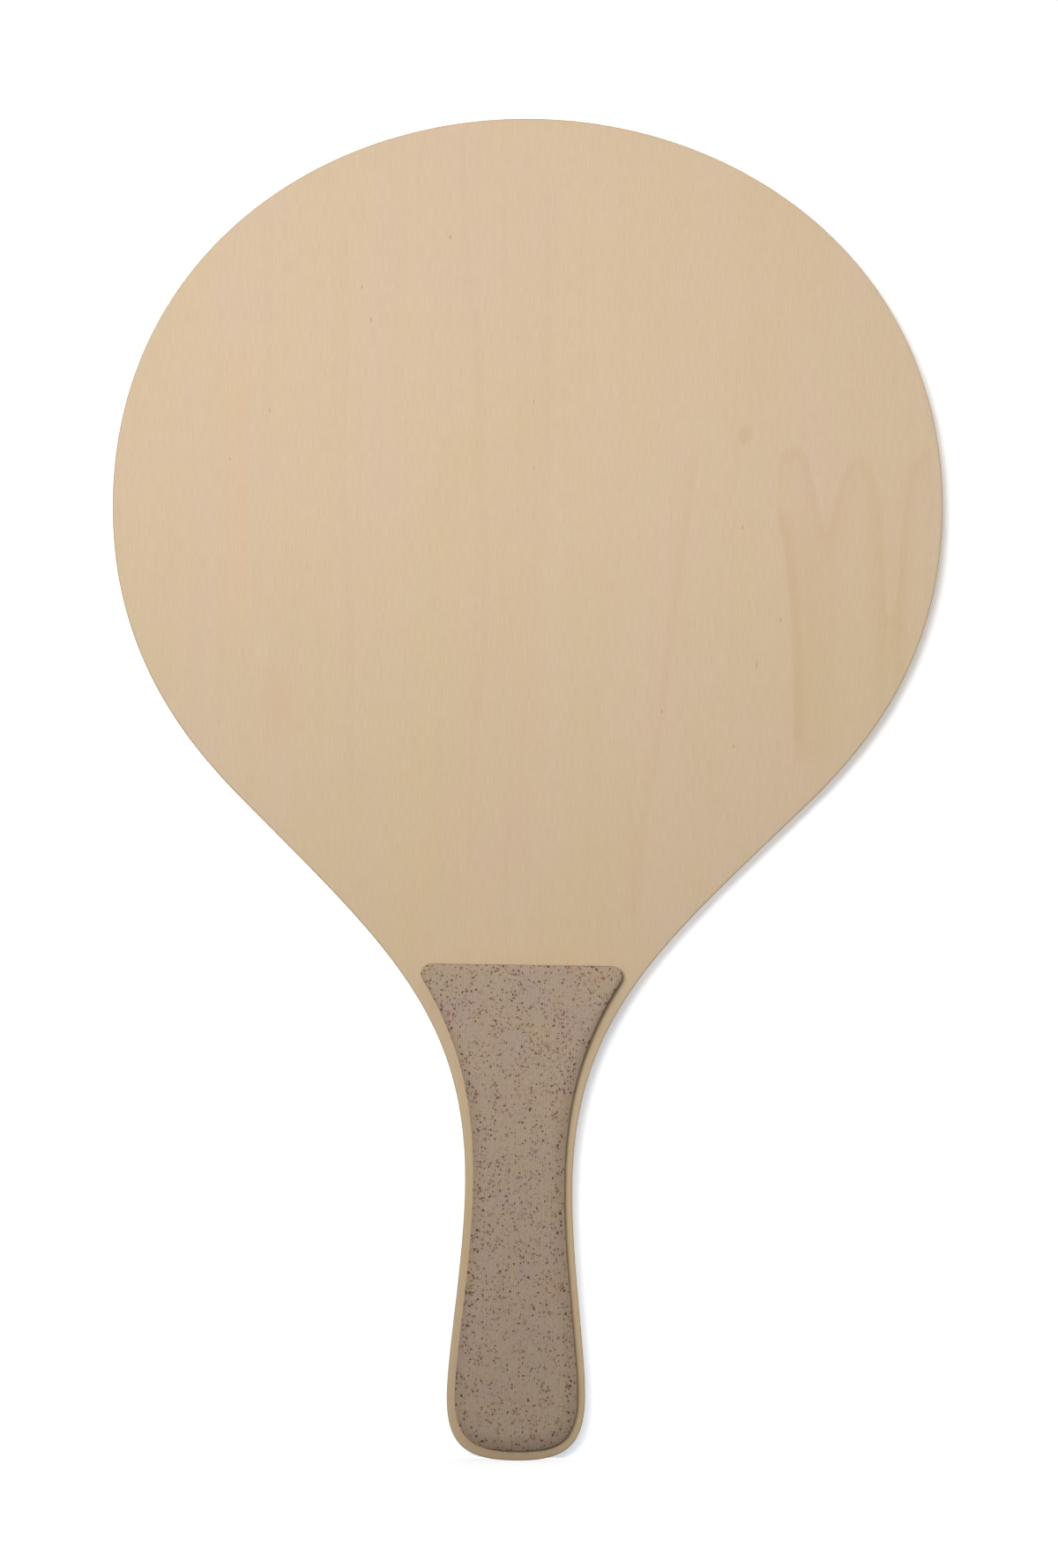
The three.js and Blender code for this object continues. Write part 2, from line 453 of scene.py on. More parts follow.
@dataclass(frozen=True)
class GrowthLine:
    """A growth line on a face veneer, through points given in millimetres.

    Attributes:
        points: The points, as (along the run, offset from it).
        runs_up: Whether the run is up the racket, so that the offset is across it, or the other way round.
        width_mm: How far its soft outer flank reaches.
        colour: Its colour in linear light.
        strength: How much of that colour it takes on.
        inside: The side on which the darker wood lies.
        shade_mm: How far the darker wood reaches before it fades.
        shade: How much of the line's strength the darker wood has.
        end_fade: The share of its length over which it fades in and out.
        slope_step_mm: The step along the run over which its slope is measured.
    """

    points: tuple[tuple[float, float], ...]
    runs_up: bool
    width_mm: float
    colour: Colour
    strength: float
    inside: Inside = Inside.LEFT_OR_BELOW
    shade_mm: float = 4.0
    shade: float = 0.4
    end_fade: float = 0.03
    slope_step_mm: float = 0.4

    def painted(self, add: Adder, across: Source, up: Source, under: Source) -> Source:
        """Paints the line over a colour.

        Args:
            add: What adds a node to the tree.
            across: The place across the racket, in millimetres.
            up: The place up the racket, in millimetres.
            under: The colour below the line.

        Returns:
            The colour with the line on it.
        """
        run, offset = (up, across) if self.runs_up else (across, up)
        start, end = self.points[0][0], self.points[-1][0]
        share = add("MapRange", {"Value": run, "From Min": start, "From Max": end})
        inward = self._inward(add, share, offset)
        reached = add("MapRange", {"Value": inward, "From Min": -self.width_mm, "From Max": self.shade_mm})
        # Over the outer flank, the line itself and the darker wood. The wood has to reach further than
        # one and a half flanks, or the curve runs past its end
        flank = self.width_mm / (self.width_mm + self.shade_mm)
        mask = add("FloatCurve", {"Value": reached}, points=[
            (0.0, 0.0), (1.25 * flank, 1.0), (2.5 * flank, self.shade), (1.0, 0.0),
        ])
        nearest_end = add("Math", {0: share, 1: 0.5}, operation="PINGPONG")
        faded = add("MapRange", {
            "Value": nearest_end, "From Max": self.end_fade, "To Max": self.strength,
        }, interpolation_type="SMOOTHSTEP")
        shown = add("Math", {0: mask, 1: faded}, operation="MULTIPLY")
        return add("Mix", {0: shown, 6: under, 7: self.colour}, data_type="RGBA")

    def _inward(self, add: Adder, share: Source, offset: Source) -> Source:
        """Measures how far a place lies inside the line, square to it.

        Args:
            add: What adds a node to the tree.
            share: How far along the run the place lies.
            offset: Its offset from the run, in millimetres.

        Returns:
            The distance in millimetres, which is negative outside the line.
        """
        start, end = self.points[0][0], self.points[-1][0]
        low = min(value for _, value in self.points)
        height = max(value for _, value in self.points) - low
        shape = [((at - start) / (end - start), (value - low) / height) for at, value in self.points]
        here = add("FloatCurve", {"Value": share}, points=shape)
        step = self.slope_step_mm / (end - start)
        ahead = add("Math", {0: share, 1: step}, operation="ADD")
        there = add("FloatCurve", {"Value": ahead}, points=shape)
        line = add("Math", {0: here, 1: height, 2: low}, operation="MULTIPLY_ADD")
        off = add("Math", {0: offset, 1: line}, operation="SUBTRACT")
        rise = add("Math", {0: there, 1: here}, operation="SUBTRACT")
        slope = add("Math", {0: rise, 1: height / self.slope_step_mm}, operation="MULTIPLY")
        square = add("Math", {0: slope, 1: slope, 2: 1.0}, operation="MULTIPLY_ADD")
        lean = add("Math", {0: square}, operation="SQRT")
        squared_off = add("Math", {0: off, 1: lean}, operation="DIVIDE")
        return add("Math", {0: squared_off, 1: self.inside.value}, operation="MULTIPLY")


@dataclass(frozen=True)
class GrainFleck:
    """A small mark in the wood: its centre across and up, its half sizes, its strength and its colour."""

    across_mm: float
    up_mm: float
    half_width_mm: float = 0.22
    half_length_mm: float = 0.7
    strength: float = 0.5
    shade: int = 0x9A7350


@dataclass(frozen=True)
class Figure:
    """What a face veneer's own sheet shows besides its even grain."""

    lines: tuple[GrowthLine, ...] = ()
    flecks: tuple[GrainFleck, ...] = ()


ORANGE_BROWN = linear(0xC39C67)
PALE_ORANGE = linear(0xDFB47F)
GREY_BROWN = linear(0xAE9270)
RED_BROWN = linear(0xC4986F)

FRONT_FIGURE = Figure(
    lines=(
        # The branch that rises on the right and the two arches that it ends in
        GrowthLine(
            (
                (196.0, 77.6), (204.2, 77.4), (224.9, 76.8), (249.8, 75.1), (259.8, 73.7), (267.2, 72.1),
                (274.5, 70.6),
            ),
            True, 1.5, ORANGE_BROWN, 0.31, Inside.RIGHT_OR_ABOVE, 14.0, 0.5, 0.12,
        ),
        GrowthLine(
            (
                (70.2, 271.0), (70.9, 279.7), (72.4, 284.6), (75.2, 286.6), (78.1, 284.2), (79.7, 278.5),
                (81.2, 272.3), (82.8, 266.9), (84.8, 263.4), (86.5, 266.6), (87.9, 272.4), (89.6, 278.7),
                (91.6, 282.4), (93.8, 284.2), (95.6, 282.5), (97.6, 276.3), (99.3, 267.6), (100.4, 257.6),
                (101.3, 245.2), (102.9, 239.0), (105.0, 242.7), (106.0, 252.7), (106.9, 265.2),
                (107.7, 275.2), (108.9, 281.4), (111.2, 285.2), (114.5, 287.6),
            ),
            False, 1.3, ORANGE_BROWN, 0.22, Inside.LEFT_OR_BELOW, 14.0, 0.6,
        ),
        # Long faint lines down the middle of the blade
        GrowthLine(
            ((205.0, -14.2), (238.7, -11.5), (273.6, -12.5), (313.4, -13.8), (338.3, -17.8), (377.0, -19.7)),
            True, 1.2, GREY_BROWN, 0.05,
        ),
        GrowthLine(
            ((182.0, -48.1), (250.6, -50.3), (288.0, -52.6), (312.9, -51.9), (352.0, -53.0)),
            True, 1.2, GREY_BROWN, 0.05,
        ),
        GrowthLine(
            ((152.0, 31.6), (179.5, 34.1), (201.9, 37.6), (219.4, 39.8), (259.4, 44.3), (288.0, 48.2)),
            True, 1.2, RED_BROWN, 0.1,
        ),
        # The soft warm bands: one down the middle, which ends sharply on its right, and one near the left
        GrowthLine(
            (
                (150.0, 1.0), (200.0, 2.0), (235.0, 2.5), (270.0, 4.0), (310.0, 6.0), (345.0, 6.5),
                (372.0, 6.0),
            ),
            True, 2.2, RED_BROWN, 0.065, Inside.LEFT_OR_BELOW, 34.0, 0.95, 0.1,
        ),
        GrowthLine(
            ((222.0, -80.5), (250.0, -80.0), (275.0, -80.5), (300.0, -81.5), (328.0, -83.0)),
            True, 2.4, PALE_ORANGE, 0.15, Inside.LEFT_OR_BELOW, 8.0, 0.8, 0.25,
        ),
        # Small arches just above the grip
        GrowthLine(
            ((-32.0, 157.0), (-27.0, 172.0), (-21.0, 185.0), (-15.5, 172.0), (-10.0, 158.0)),
            False, 1.0, PALE_ORANGE, 0.14, Inside.LEFT_OR_BELOW, 8.0, 0.6,
        ),
    ),
    flecks=(
        GrainFleck(61.3, 291.2, 2.1, 3.0, 0.14), GrainFleck(-70.5, 214.0, 5.0, 12.0, 0.12, 0xCB9A66),
        GrainFleck(60.9, 265.1), GrainFleck(65.4, 226.0, 0.2, 0.9), GrainFleck(72.0, 239.0),
        GrainFleck(-47.7, 331.7), GrainFleck(-45.0, 322.5, 0.2, 0.9), GrainFleck(-22.9, 346.2),
        GrainFleck(-73.4, 296.4), GrainFleck(-84.4, 282.6, 0.2, 0.5), GrainFleck(1.4, 299.9, 0.18, 0.5),
        GrainFleck(1.6, 281.2, 0.18, 0.5), GrainFleck(59.2, 203.0), GrainFleck(38.7, 212.7),
    ),
)

BACK_FIGURE = Figure(
    lines=(
        GrowthLine(
            ((198.0, -62.0), (236.0, -58.5), (268.0, -55.2), (300.0, -54.4), (334.0, -58.0), (352.0, -60.5)),
            True, 1.2, ORANGE_BROWN, 0.2, Inside.LEFT_OR_BELOW, 10.0, 0.5,
        ),
        GrowthLine(
            ((176.0, 22.4), (214.0, 25.6), (262.0, 24.2), (306.0, 28.8), (350.0, 33.0), (374.0, 34.4)),
            True, 1.2, RED_BROWN, 0.1,
        ),
        GrowthLine(
            (
                (-36.0, 214.0), (-33.2, 240.0), (-30.6, 262.0), (-27.0, 281.0), (-23.0, 288.5),
                (-18.8, 284.0), (-15.6, 268.0), (-12.8, 244.0), (-10.0, 216.0),
            ),
            False, 1.0, ORANGE_BROWN, 0.22, Inside.LEFT_OR_BELOW, 12.0, 0.5,
        ),
    ),
    flecks=(
        GrainFleck(-82.0, 252.0), GrainFleck(-41.0, 318.0, 0.2, 0.9), GrainFleck(12.5, 341.0),
        GrainFleck(47.0, 266.0), GrainFleck(71.0, 231.0, 0.2, 0.6), GrainFleck(88.0, 297.0),
        GrainFleck(-14.0, 198.0, 0.18, 0.5), GrainFleck(33.0, 204.0),
    ),
)


@dataclass(frozen=True)
class VeneerFinish(Finish):
    """A peeled hardwood veneer, pale and close-grained, sanded fine and left matt.

    Peeling gives the sheet broad soft bands and a few wavy growth lines, and sanding leaves it smooth, so
    that the eye finds only fine hair-like fibres along the grain. Where an edge cuts across the fibres it
    shows darker, rougher end grain with open pores, and a thin brown glue line where plies meet.

    Attributes:
        name: The material's name.
        shades: The colours of its soft bands, from warm to grey.
        streak: The colour of its darker streaks and fibres.
        end_grain: The colour of its cut ends.
        grain: The way its fibres run.
        glue_depths_mm: How far from the racket's middle its glue lines lie.
        figure: What this sheet shows besides even grain.
        roughness: Its roughness where it is sanded.
        ior: A typical value for wood with its surface closed by fine sanding.
        glue: The colour of its glue lines.
        sway_mm: How far its grain drifts to the side over the sheet.
        ragged_mm: How far a growth line strays from one fibre to the next.
        pore_mm: The size of a pore. Real ones are about 0.06 mm, and are drawn larger so that they show.
    """

    name: str
    shades: tuple[int, int, int]
    streak: int
    end_grain: int
    grain: GrainAxis
    glue_depths_mm: tuple[float, ...]
    figure: Figure = Figure()
    roughness: float = 0.58
    ior: float = 1.5
    glue: int = 0x8F6E4C
    sway_mm: float = 7.0
    ragged_mm: float = 2.5
    pore_mm: float = 0.25

    def surface(self, add: Adder) -> Source:
        """Draws the veneer.

        Args:
            add: What adds a node to the tree.

        Returns:
            Its shader.
        """
        place = place_in_mm(add)
        across, depth, up = add("SeparateXYZ", {0: place}).outputs
        cross, along = (across, up) if self.grain is GrainAxis.LENGTHWISE else (up, across)

        straight = add("CombineXYZ", {0: cross, 1: depth, 2: along})
        drift = GrainPattern(45.0, 170.0, 1.0).drawn(add, straight)
        swayed = add("Math", {0: drift, 1: self.sway_mm, 2: cross}, operation="MULTIPLY_ADD")
        grain = add("CombineXYZ", {0: swayed, 1: depth, 2: along})
        streaks = GrainPattern(2.6, 90.0, 3.0, 0.6).drawn(add, grain)
        # Real fibres are about 0.05 mm wide, too fine to show, so they are drawn 0.3 mm wide
        fibres = GrainPattern(0.3, 5.0, 2.0, 0.6).drawn(add, grain)

        colour = self._banded(add, grain, streaks, fibres)
        # Growth lines cut the fibres at a slant, so that each fibre shows its own stretch of the line
        slant = GrainPattern(0.45, 9.0, 2.0, 0.7).drawn(add, grain)
        shifted = add("MapRange", {"Value": slant, "To Min": -self.ragged_mm, "To Max": self.ragged_mm})
        ragged = add("Math", {0: shifted, 1: up}, operation="ADD")
        for line in self.figure.lines:
            colour = line.painted(add, across, ragged, colour)
        colour = self._flecked(add, across, up, colour)
        colour = self._yellowed_towards_butt(add, up, colour)
        cut = self._cut_across(add)
        colour = self._ended(add, place, cut, colour)
        colour = self._glued(add, depth, colour)

        shine = add("Math", {0: fibres, 1: 0.12, 2: self.roughness - 0.06}, operation="MULTIPLY_ADD")
        dulled = add("Math", {0: cut, 1: 0.2, 2: shine}, operation="MULTIPLY_ADD", use_clamp=True)
        relief = add("Math", {0: streaks, 1: 0.4, 2: fibres}, operation="MULTIPLY_ADD")
        bump = add("Bump", {"Strength": 0.5, "Distance": 0.04 * MM, "Height": relief})
        return add("BsdfPrincipled", {
            "Base Color": colour, "Roughness": dulled, "IOR": self.ior, "Normal": bump,
        })

    def _banded(self, add: Adder, grain: Source, streaks: Source, fibres: Source) -> Source:
        """Draws the wood's own colour, with its soft bands, streaks and fibres.

        Args:
            add: What adds a node to the tree.
            grain: The place in millimetres, as across, through and along the grain.
            streaks: The pattern of its streaks.
            fibres: The pattern of its fibres.

        Returns:
            The colour.
        """
        bands = GrainPattern(30.0, 130.0, 2.0).drawn(add, grain)
        patches = GrainPattern(9.0, 24.0, 3.0).drawn(add, grain)
        mottled = add("Math", {0: patches, 1: 0.6, 2: bands}, operation="MULTIPLY_ADD")
        shade = add("ValToRGB", {0: mottled}, stops=[
            (0.62, linear(self.shades[0])), (0.8, linear(self.shades[1])), (0.98, linear(self.shades[2])),
        ])
        streaked = add("MapRange", {
            "Value": streaks, "From Min": 0.4, "From Max": 0.8, "To Max": 0.06,
        }, interpolation_type="SMOOTHSTEP")
        with_streaks = add("Mix", {0: streaked, 6: shade, 7: linear(self.streak)}, data_type="RGBA")
        fibred = add("MapRange", {"Value": fibres, "From Min": 0.4, "From Max": 0.75, "To Max": 0.2})
        return add("Mix", {0: fibred, 6: with_streaks, 7: linear(self.streak)}, data_type="RGBA")

    def _flecked(self, add: Adder, across: Source, up: Source, under: Source) -> Source:
        """Paints the sheet's small dark flecks over a colour.

        Args:
            add: What adds a node to the tree.
            across: The place across the racket, in millimetres.
            up: The place up the racket, in millimetres.
            under: The colour below the flecks.

        Returns:
            The colour with the flecks on it.
        """
        spot = add("CombineXYZ", {0: across, 2: up})
        for fleck in self.figure.flecks:
            centre = (fleck.across_mm, 0.0, fleck.up_mm)
            sizes = (1 / fleck.half_width_mm, 1.0, 1 / fleck.half_length_mm)
            off = add("VectorMath", {0: spot, 1: centre}, operation="SUBTRACT")
            shaped = add("VectorMath", {0: off, 1: sizes}, operation="MULTIPLY")
            reach = add("VectorMath", {0: shaped}, operation="LENGTH")
            mask = add("MapRange", {
                "Value": reach, "From Min": 1.25, "From Max": 0.55, "To Max": fleck.strength,
            }, interpolation_type="SMOOTHSTEP")
            under = add("Mix", {0: mask, 6: under, 7: linear(fleck.shade)}, data_type="RGBA")
        return under

    def _yellowed_towards_butt(self, add: Adder, up: Source, under: Source) -> Source:
        """Tints the bare wood yellower, and a touch darker, towards the butt.

        Args:
            add: What adds a node to the tree.
            up: The place up the racket, in millimetres.
            under: The colour of the wood.

        Returns:
            The yellowed colour.
        """
        climb = add("MapRange", {"Value": up, "From Min": 40.0, "From Max": 380.0})
        tint = add("ValToRGB", {0: climb}, stops=[
            (0.0, (1.0, 1.0, 0.9, 1.0)), (0.07, (0.98, 0.98, 0.83, 1.0)), (0.18, (0.985, 1.0, 0.93, 1.0)),
            (0.33, (0.978, 0.982, 0.93, 1.0)), (0.53, (0.972, 0.982, 0.93, 1.0)),
            (0.67, (0.99, 0.99, 0.97, 1.0)), (1.0, (1.0, 1.0, 1.0, 1.0)),
        ])
        return add("Mix", {0: 1.0, 6: under, 7: tint}, data_type="RGBA", blend_type="MULTIPLY")

    def _cut_across(self, add: Adder) -> Source:
        """Finds where a surface cuts across the fibres.

        Args:
            add: What adds a node to the tree.

        Returns:
            1 where it cuts them square, and 0 where they lie along it.
        """
        normal = add("TexCoord").outputs["Normal"]
        facing = add("VectorMath", {0: normal, 1: self.grain.value}, operation="DOT_PRODUCT")
        ends = add("Math", {0: facing}, operation="ABSOLUTE")
        return add("MapRange", {
            "Value": ends, "From Min": 0.25, "From Max": 0.9,
        }, interpolation_type="SMOOTHSTEP")

    def _ended(self, add: Adder, place: Source, cut: Source, under: Source) -> Source:
        """Darkens the cut ends of the fibres, most of all in their open pores.

        Args:
            add: What adds a node to the tree.
            place: The place in millimetres.
            cut: How squarely the surface cuts across the fibres.
            under: The colour of the wood.

        Returns:
            The colour with the end grain on it.
        """
        cells = add("TexVoronoi", {"Vector": place, "Scale": 1 / self.pore_mm})
        pores = add("MapRange", {
            "Value": cells, "From Min": 0.1, "From Max": 0.55, "To Min": 1.0, "To Max": 0.55,
        })
        share = add("Math", {0: cut, 1: pores}, operation="MULTIPLY")
        return add("Mix", {0: share, 6: under, 7: linear(self.end_grain)}, data_type="RGBA")

    def _glued(self, add: Adder, depth: Source, under: Source) -> Source:
        """Darkens the cut edge along its glue lines.

        Args:
            add: What adds a node to the tree.
            depth: The place through the racket, in millimetres.
            under: The colour of the wood.

        Returns:
            The colour with the glue lines on it.
        """
        middle = add("Math", {0: depth}, operation="ABSOLUTE")
        for glue_depth in self.glue_depths_mm:
            off = add("Math", {0: middle, 1: glue_depth}, operation="SUBTRACT")
            distance = add("Math", {0: off}, operation="ABSOLUTE")
            # A glue line is about 0.05 mm thick, and is drawn about 0.15 mm thick so that it shows
            mask = add("MapRange", {
                "Value": distance, "From Min": 0.12, "From Max": 0.03, "To Max": 0.6,
            }, interpolation_type="SMOOTHSTEP")
            under = add("Mix", {0: mask, 6: under, 7: linear(self.glue)}, data_type="RGBA")
        return under


@dataclass(frozen=True)
class Granules:
    """One kind of coloured granule in the moulded grip.

    Attributes:
        spacing_mm: The distance between places where one may lie.
        share: How many of those places hold one.
        radii_mm: The least and the largest radius.
        shades: Its colours, one of which each granule takes.
        strength: How much of that colour shows.
        softness: How much of the radius the edge takes up.
        seed: An offset that keeps this kind's places apart from the others'.
    """

    spacing_mm: float
    share: float
    radii_mm: tuple[float, float]
    shades: tuple[int, ...]
    strength: float
    softness: float
    seed: float

    def painted(self, add: Adder, place: Source, crowding: Source, under: Source) -> Source:
        """Paints the granules over a colour.

        Args:
            add: What adds a node to the tree.
            place: The place in millimetres.
            crowding: Where granules crowd together, about 0.5 on average.
            under: The colour below them.

        Returns:
            The colour with the granules on it.
        """
        apart = (self.seed, self.seed * 1.7, self.seed * 0.6)
        moved = add("VectorMath", {0: place, 1: apart}, operation="ADD")
        cells = add("TexVoronoi", {"Vector": moved, "Scale": 1 / self.spacing_mm})
        dice = add("SeparateColor", {0: cells.outputs["Color"]})
        least, most = (radius / self.spacing_mm for radius in self.radii_mm)
        radius = add("MapRange", {"Value": dice.outputs[1], "To Min": least, "To Max": most})
        reach = add("Math", {0: cells, 1: radius}, operation="DIVIDE")
        body = add("MapRange", {
            "Value": reach, "From Min": 1.0, "From Max": 1.0 - self.softness, "To Max": self.strength,
        }, interpolation_type="SMOOTHSTEP")
        chance = add("Math", {0: crowding, 1: self.share * 2}, operation="MULTIPLY")
        present = add("Math", {0: dice, 1: chance}, operation="LESS_THAN")
        shown = add("Math", {0: body, 1: present}, operation="MULTIPLY")
        shades = [(index / len(self.shades), linear(shade)) for index, shade in enumerate(self.shades)]
        shade = add("ValToRGB", {0: dice.outputs[2]}, stops=shades)
        shade.color_ramp.interpolation = "CONSTANT"
        return add("Mix", {0: shown, 6: under, 7: shade}, data_type="RGBA")


@dataclass(frozen=True)
class MouldedGripFinish(Finish):
    """Rubber-and-cork granules moulded with a binder, with the matt skin that a mould leaves.

    The eye sees a greige ground that drifts a little between warm and mauve, peppered with rust, brown and
    near-black granules, a few ochre ones and blue-grey smudges where a soft granule has smeared.

    Attributes:
        rib_pitch_mm: The distance between the ribs that the mould leaves.
        name: The material's name.
        warm: The warmest colour of the ground.
        plain: The ground's usual colour.
        mauve: Its coolest colour.
        dust_and_groove_shade: The colour of its grain, of the dust between the ribs and of the shade painted
            into the grooves.
        roughness: Its roughness.
        ior: A typical value for a filled rubber compound.
        drift_mm: The size of the patches over which the ground's colour drifts.
        grit_mm: The size of the binder's grain. It is about 0.1 mm, and is drawn larger so that it shows.
        tear_mm: The size of the tears in a granule's edge.
        torn_mm: How far those tears push the edge about.
        crowd_mm: The size of the places where granules crowd together.
        kinds: The kinds of granule, in the order in which they are laid over each other.
    """

    rib_pitch_mm: float
    name: str = "moulded_granule_compound"
    warm: int = 0xBBA487
    plain: int = 0xBAA289
    mauve: int = 0xB8A08E
    dust_and_groove_shade: int = 0x6F5F55
    roughness: float = 0.66
    ior: float = 1.5
    drift_mm: float = 11.0
    grit_mm: float = 0.6
    tear_mm: float = 0.5
    torn_mm: float = 1.3
    crowd_mm: float = 4.0
    kinds: tuple[Granules, ...] = (
        Granules(7.0, 0.5, (0.8, 1.6), (0x7B7A7C, 0x747376, 0x857B74), 0.5, 1.0, 11.0),
        Granules(2.2, 0.55, (0.32, 0.62), (0xA0683A, 0x965E30, 0xA87C4C, 0x8E4E2A), 0.8, 0.6, 23.0),
        Granules(
            1.2, 0.75, (0.28, 0.52), (0x6A4228, 0x5A3C24, 0x7C4626, 0x8A5230, 0x624630), 0.95, 0.5, 37.0,
        ),
        Granules(1.45, 0.65, (0.3, 0.58), (0x4A3018, 0x3E2814, 0x6A3A1C, 0x5A361E), 1.0, 0.4, 53.0),
        Granules(0.95, 0.5, (0.2, 0.36), (0x70503A, 0x8A5A34, 0x665040, 0x9A6A3C), 0.85, 0.6, 71.0),
    )

    def surface(self, add: Adder) -> Source:
        """Draws the moulded compound.

        Args:
            add: What adds a node to the tree.

        Returns:
            Its shader.
        """
        place = place_in_mm(add)
        drift = add("TexNoise", {"Vector": place, "Scale": 1 / self.drift_mm, "Detail": 3.0})
        ground = add("ValToRGB", {0: drift}, stops=[
            (0.33, linear(self.warm)), (0.5, linear(self.plain)), (0.68, linear(self.mauve)),
        ])
        grit = add("TexNoise", {
            "Vector": place, "Scale": 1 / self.grit_mm, "Detail": 4.0, "Roughness": 0.75,
        })
        gritted = add("MapRange", {"Value": grit, "From Min": 0.35, "From Max": 0.7, "To Max": 0.34})
        colour = add("Mix", {0: gritted, 6: ground, 7: linear(self.dust_and_groove_shade)}, data_type="RGBA")

        # Painted shade darkens the grooves between the ribs, along with the dust that settles there
        across = add("SeparateXYZ", {0: place}).outputs["X"]
        turn = add("Math", {0: across, 1: 2 * math.pi / self.rib_pitch_mm}, operation="MULTIPLY")
        wave = add("Math", {0: turn}, operation="COSINE")
        groove_shade = add("MapRange", {"Value": wave, "From Min": 0.2, "From Max": -1.0, "To Max": 0.18})
        colour = add("Mix", {0: groove_shade, 6: colour, 7: linear(self.dust_and_groove_shade)}, data_type="RGBA")

        # Granules are torn rather than round, so the places that they are drawn from are shaken
        shake = add("TexNoise", {"Vector": place, "Scale": 1 / self.tear_mm, "Detail": 2.0})
        shaken = add("VectorMath", {
            0: shake.outputs["Color"], 1: (self.torn_mm,) * 3, 2: place,
        }, operation="MULTIPLY_ADD")
        crowding = add("TexNoise", {"Vector": place, "Scale": 1 / self.crowd_mm, "Detail": 3.0})
        crowded = add("MapRange", {"Value": crowding, "From Min": 0.3, "From Max": 0.7})
        for kind in self.kinds:
            colour = kind.painted(add, shaken, crowded, colour)

        bump = add("Bump", {"Strength": 0.4, "Distance": 0.06 * MM, "Height": grit})
        dull = add("MapRange", {
            "Value": grit, "To Min": self.roughness - 0.06, "To Max": self.roughness + 0.06,
        })
        return add("BsdfPrincipled", {
            "Base Color": colour, "Roughness": dull, "IOR": self.ior, "Normal": bump,
        })


@dataclass(frozen=True)
class BondingFilmFinish(Finish):
    """Contact adhesive, brushed on and cured: a thin amber film with brush marks, glossier than wood."""

    name: str = "brushed_contact_adhesive"
    thin: int = 0xC2A67C
    thick: int = 0xA5855A
    roughness: float = 0.38
    # A typical value for cured synthetic rubber
    ior: float = 1.52

    def surface(self, add: Adder) -> Source:
        """Draws the film.

        Args:
            add: What adds a node to the tree.

        Returns:
            Its shader.
        """
        marks = GrainPattern(0.8, 14.0, 3.0, 0.6).drawn(add, place_in_mm(add))
        colour = add("ValToRGB", {0: marks}, stops=[(0.35, linear(self.thin)), (0.65, linear(self.thick))])
        bump = add("Bump", {"Strength": 0.5, "Distance": 0.05 * MM, "Height": marks})
        return add("BsdfPrincipled", {
            "Base Color": colour, "Roughness": self.roughness, "IOR": self.ior, "Normal": bump,
        })


@dataclass(frozen=True)
class PaintedBoardFinish(Finish):
    """White painted board, matt and even: it takes the racket's shadow and is otherwise the white ground.

    Attributes:
        name: The material's name.
        paint: The paint's colour.
        glow_low: How much light of its own the camera sees in it at the floor.
        glow_high: The same from even_height upwards.
        glow_tint: That light's colour: a cool one evens out the warmth that the wood casts into its shadow.
        seen_from_behind: Whether the board shows from behind too.
        even_height: The height above which the light of its own no longer changes.
        mottle_per_metre: How many specks of brushed emulsion's faint mottle lie along a metre.
    """

    name: str
    paint: int = 0xFFFFFF
    glow_low: float = 0.5
    glow_high: float = 0.5
    glow_tint: int = 0xFFFFFF
    seen_from_behind: bool = True
    even_height: float = 250.0 * MM
    mottle_per_metre: float = 330.0

    def surface(self, add: Adder) -> Source:
        """Draws the painted board.

        Args:
            add: What adds a node to the tree.

        Returns:
            Its shader.
        """
        place = add("TexCoord").outputs["Object"]
        height = add("SeparateXYZ", {0: place}).outputs["Z"]
        glow = add("MapRange", {
            "Value": height, "From Max": self.even_height, "To Min": self.glow_low,
            "To Max": self.glow_high,
        })
        strength = add("Math", {0: seen_directly(add), 1: glow}, operation="MULTIPLY")
        mottle = add("TexNoise", {"Vector": place, "Scale": self.mottle_per_metre})
        bump = add("Bump", {"Strength": 0.1, "Distance": 0.05 * MM, "Height": mottle})
        paint = add("BsdfDiffuse", {"Color": linear(self.paint), "Normal": bump})
        light = add("Emission", {"Color": linear(self.glow_tint), "Strength": strength})
        board = add("AddShader", {0: paint, 1: light})
        if self.seen_from_behind:
            return board
        facing = add("NewGeometry")
        clear = add("BsdfTransparent")
        return add("MixShader", {0: facing.outputs["Backfacing"], 1: board, 2: clear})


# The racket's sub-assemblies


